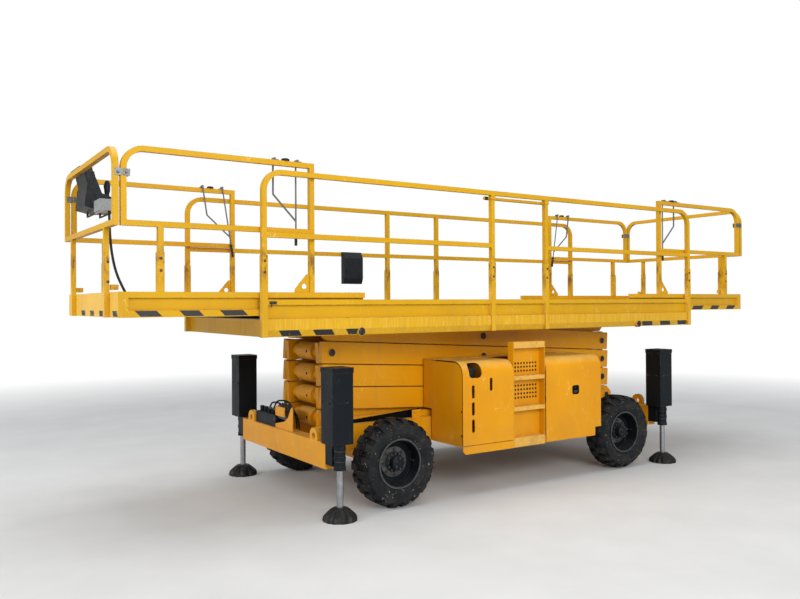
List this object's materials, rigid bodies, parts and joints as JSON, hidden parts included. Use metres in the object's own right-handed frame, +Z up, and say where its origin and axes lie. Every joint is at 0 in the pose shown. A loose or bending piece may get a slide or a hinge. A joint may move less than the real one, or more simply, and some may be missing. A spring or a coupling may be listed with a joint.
{
  "type": "mobile scissor lift platform",
  "caption": "Wheeled scissor lift with crossed folding arms, a railed platform with sliding end decks, side boxes, a ladder and outrigger legs.",
  "frame": {"origin": "on the ground at the middle of the machine", "axes": "+X along the machine away from the control box end, -Y the ladder side, +Z up"},
  "size_m": [7.624, 2.374, 2.964],
  "materials": {
    "yellow_paint": "worn gloss paint",
    "black_paint": "worn satin paint",
    "tyre": "dusty rubber",
    "rubber": "matt rubber",
    "bare_steel": "polished rod",
    "floor_steel": "chequered plate",
    "grey_box": "grey paint and black plastic",
    "dark_plastic": "matt plastic",
    "cast": "dark painted casting"
  },
  "bodies": {
    "chassis": {"chassis_frame": "yellow_paint", "left_end_beam": "yellow_paint", "right_end_beam": "yellow_paint", "outrigger_housings": "black_paint", "outrigger_covers": "black_paint", "valve_block": "black_paint", "steer_axle": "cast", "drive_axle": "cast", "tray_far": "yellow_paint", "tray_near": "yellow_paint", "ladder": "yellow_paint", "engine": "cast", "hydraulic_tank": "black_paint"},
    "hood_near_left": {"hood_near_left": "yellow_paint"},
    "hood_near_right": {"hood_near_right": "yellow_paint"},
    "hood_far_left": {"hood_far_left": "yellow_paint"},
    "hood_far_right": {"hood_far_right": "yellow_paint"},
    "knuckle_near": {"knuckle_near": "cast"},
    "wheel_near_left": {"tyre_near_left": "tyre", "rim_near_left": "black_paint"},
    "leg_body_near_left": {"leg_near_left": "bare_steel", "foot_near_left": "rubber"},
    "wheel_near_right": {"tyre_near_right": "tyre", "rim_near_right": "black_paint"},
    "leg_body_near_right": {"leg_near_right": "bare_steel", "foot_near_right": "rubber"},
    "knuckle_far": {"knuckle_far": "cast"},
    "wheel_far_left": {"tyre_far_left": "tyre", "rim_far_left": "black_paint"},
    "leg_body_far_left": {"leg_far_left": "bare_steel", "foot_far_left": "rubber"},
    "wheel_far_right": {"tyre_far_right": "tyre", "rim_far_right": "black_paint"},
    "leg_body_far_right": {"leg_far_right": "bare_steel", "foot_far_right": "rubber"},
    "outer_1": {"outer_arm_1": "yellow_paint"},
    "inner_1": {"inner_arm_1": "yellow_paint"},
    "outer_2": {"outer_arm_2": "yellow_paint"},
    "inner_2": {"inner_arm_2": "yellow_paint"},
    "outer_3": {"outer_arm_3": "yellow_paint"},
    "inner_3": {"inner_arm_3": "yellow_paint"},
    "outer_4": {"outer_arm_4": "yellow_paint"},
    "inner_4": {"inner_arm_4": "yellow_paint"},
    "platform": {"platform_frame": "yellow_paint", "platform_floor": "floor_steel", "main_rail_near": "yellow_paint", "main_rail_far": "yellow_paint", "document_box": "dark_plastic"},
    "cylinder_barrel": {"lift_cylinder_barrel": "black_paint"},
    "cylinder_rod": {"lift_cylinder_rod": "bare_steel"},
    "gate": {"gate_bar": "bare_steel"},
    "extension_left": {"extension_deck_left": "yellow_paint", "extension_rails_left": "yellow_paint", "levers_left": "bare_steel", "control_box": "grey_box"},
    "extension_right": {"extension_deck_right": "yellow_paint", "extension_rails_right": "yellow_paint", "levers_right": "bare_steel"}
  },
  "joints": [
    {"name": "hood_near_left_hinge", "type": "hinge", "parent": "chassis", "child": "hood_near_left", "pos_m": [0, -0.62, 1.2325], "axis": [-1, 0, 0], "range_deg": [0, 45]},
    {"name": "hood_near_right_hinge", "type": "hinge", "parent": "chassis", "child": "hood_near_right", "pos_m": [0, -0.62, 1.2325], "axis": [-1, 0, 0], "range_deg": [0, 45]},
    {"name": "hood_far_left_hinge", "type": "hinge", "parent": "chassis", "child": "hood_far_left", "pos_m": [0, 0.62, 1.2325], "axis": [1, 0, 0], "range_deg": [0, 45]},
    {"name": "hood_far_right_hinge", "type": "hinge", "parent": "chassis", "child": "hood_far_right", "pos_m": [0, 0.62, 1.2325], "axis": [1, 0, 0], "range_deg": [0, 45]},
    {"name": "steer_near", "type": "hinge", "parent": "chassis", "child": "knuckle_near", "pos_m": [-1.4455, -0.715, 0.3875], "axis": [0, 0, 1], "range_deg": [-30, 30]},
    {"name": "wheel_spin_near_left", "type": "hinge", "parent": "knuckle_near", "child": "wheel_near_left", "pos_m": [-1.4455, -0.919, 0.3875], "axis": [0, 1, 0], "continuous": true},
    {"name": "leg_slide_near_left", "type": "slide", "parent": "chassis", "child": "leg_body_near_left", "axis": [0, 0, 1], "range_m": [0, 0.25]},
    {"name": "wheel_spin_near_right", "type": "hinge", "parent": "chassis", "child": "wheel_near_right", "pos_m": [1.4455, -0.919, 0.3875], "axis": [0, 1, 0], "continuous": true},
    {"name": "leg_slide_near_right", "type": "slide", "parent": "chassis", "child": "leg_body_near_right", "axis": [0, 0, 1], "range_m": [0, 0.25]},
    {"name": "steer_far", "type": "hinge", "parent": "chassis", "child": "knuckle_far", "pos_m": [-1.4455, 0.715, 0.3875], "axis": [0, 0, 1], "range_deg": [-30, 30]},
    {"name": "wheel_spin_far_left", "type": "hinge", "parent": "knuckle_far", "child": "wheel_far_left", "pos_m": [-1.4455, 0.919, 0.3875], "axis": [0, 1, 0], "continuous": true},
    {"name": "leg_slide_far_left", "type": "slide", "parent": "chassis", "child": "leg_body_far_left", "axis": [0, 0, 1], "range_m": [0, 0.25]},
    {"name": "wheel_spin_far_right", "type": "hinge", "parent": "chassis", "child": "wheel_far_right", "pos_m": [1.4455, 0.919, 0.3875], "axis": [0, 1, 0], "continuous": true},
    {"name": "leg_slide_far_right", "type": "slide", "parent": "chassis", "child": "leg_body_far_right", "axis": [0, 0, 1], "range_m": [0, 0.25]},
    {"name": "lift", "type": "hinge", "parent": "chassis", "child": "outer_1", "pos_m": [1.7836, 0, 0.712], "axis": [0, 1, 0], "range_deg": [0, 53]},
    {"name": "cross_1", "type": "hinge", "parent": "outer_1", "child": "inner_1", "pos_m": [0, 0, 0.81555], "axis": [0, 1, 0], "range_deg": [-106, 0]},
    {"name": "link_1", "type": "hinge", "parent": "outer_1", "child": "inner_2", "pos_m": [-1.7836, 0, 0.9191], "axis": [0, 1, 0], "range_deg": [-106, 0]},
    {"name": "cross_2", "type": "hinge", "parent": "inner_2", "child": "outer_2", "pos_m": [0, 0, 1.02265], "axis": [0, 1, 0], "range_deg": [0, 106]},
    {"name": "link_2", "type": "hinge", "parent": "inner_2", "child": "outer_3", "pos_m": [1.7836, 0, 1.1262], "axis": [0, 1, 0], "range_deg": [0, 106]},
    {"name": "cross_3", "type": "hinge", "parent": "outer_3", "child": "inner_3", "pos_m": [0, 0, 1.22975], "axis": [0, 1, 0], "range_deg": [-106, 0]},
    {"name": "link_3", "type": "hinge", "parent": "outer_3", "child": "inner_4", "pos_m": [-1.7836, 0, 1.3333], "axis": [0, 1, 0], "range_deg": [-106, 0]},
    {"name": "cross_4", "type": "hinge", "parent": "inner_4", "child": "outer_4", "pos_m": [0, 0, 1.43685], "axis": [0, 1, 0], "range_deg": [0, 106]},
    {"name": "platform_pivot", "type": "hinge", "parent": "inner_4", "child": "platform", "pos_m": [1.7836, 0, 1.5404], "axis": [0, 1, 0], "range_deg": [0, 53]},
    {"name": "cylinder_foot", "type": "hinge", "parent": "inner_1", "child": "cylinder_barrel", "pos_m": [0.15265, 0, 0.77433], "axis": [0, 1, 0], "range_deg": [0, 108.06]},
    {"name": "cylinder_stroke", "type": "slide", "parent": "cylinder_barrel", "child": "cylinder_rod", "axis": [-0.9948, 0, 0.1021], "range_m": [0, 0.303]},
    {"name": "gate_slide", "type": "slide", "parent": "platform", "child": "gate", "axis": [0, 0, -1], "range_m": [0, 0.41]},
    {"name": "extension_slide_left", "type": "slide", "parent": "platform", "child": "extension_left", "axis": [1, 0, 0], "range_m": [0, 1.02]},
    {"name": "extension_slide_right", "type": "slide", "parent": "platform", "child": "extension_right", "axis": [-1, 0, 0], "range_m": [0, 1.02]}
  ],
  "couplings": [
    {"joint": "steer_far", "follows": "steer_near", "ratio": 1},
    {"joint": "cross_1", "follows": "lift", "ratio": -2},
    {"joint": "link_1", "follows": "lift", "ratio": -2},
    {"joint": "cross_2", "follows": "lift", "ratio": 2},
    {"joint": "link_2", "follows": "lift", "ratio": 2},
    {"joint": "cross_3", "follows": "lift", "ratio": -2},
    {"joint": "link_3", "follows": "lift", "ratio": -2},
    {"joint": "cross_4", "follows": "lift", "ratio": 2},
    {"joint": "platform_pivot", "follows": "lift", "ratio": 1},
    {"joint": "cylinder_foot", "follows": "lift", "ratio": 2.0387},
    {"joint": "cylinder_stroke", "follows": "lift", "m_per_rad": 0.3266}
  ]
}
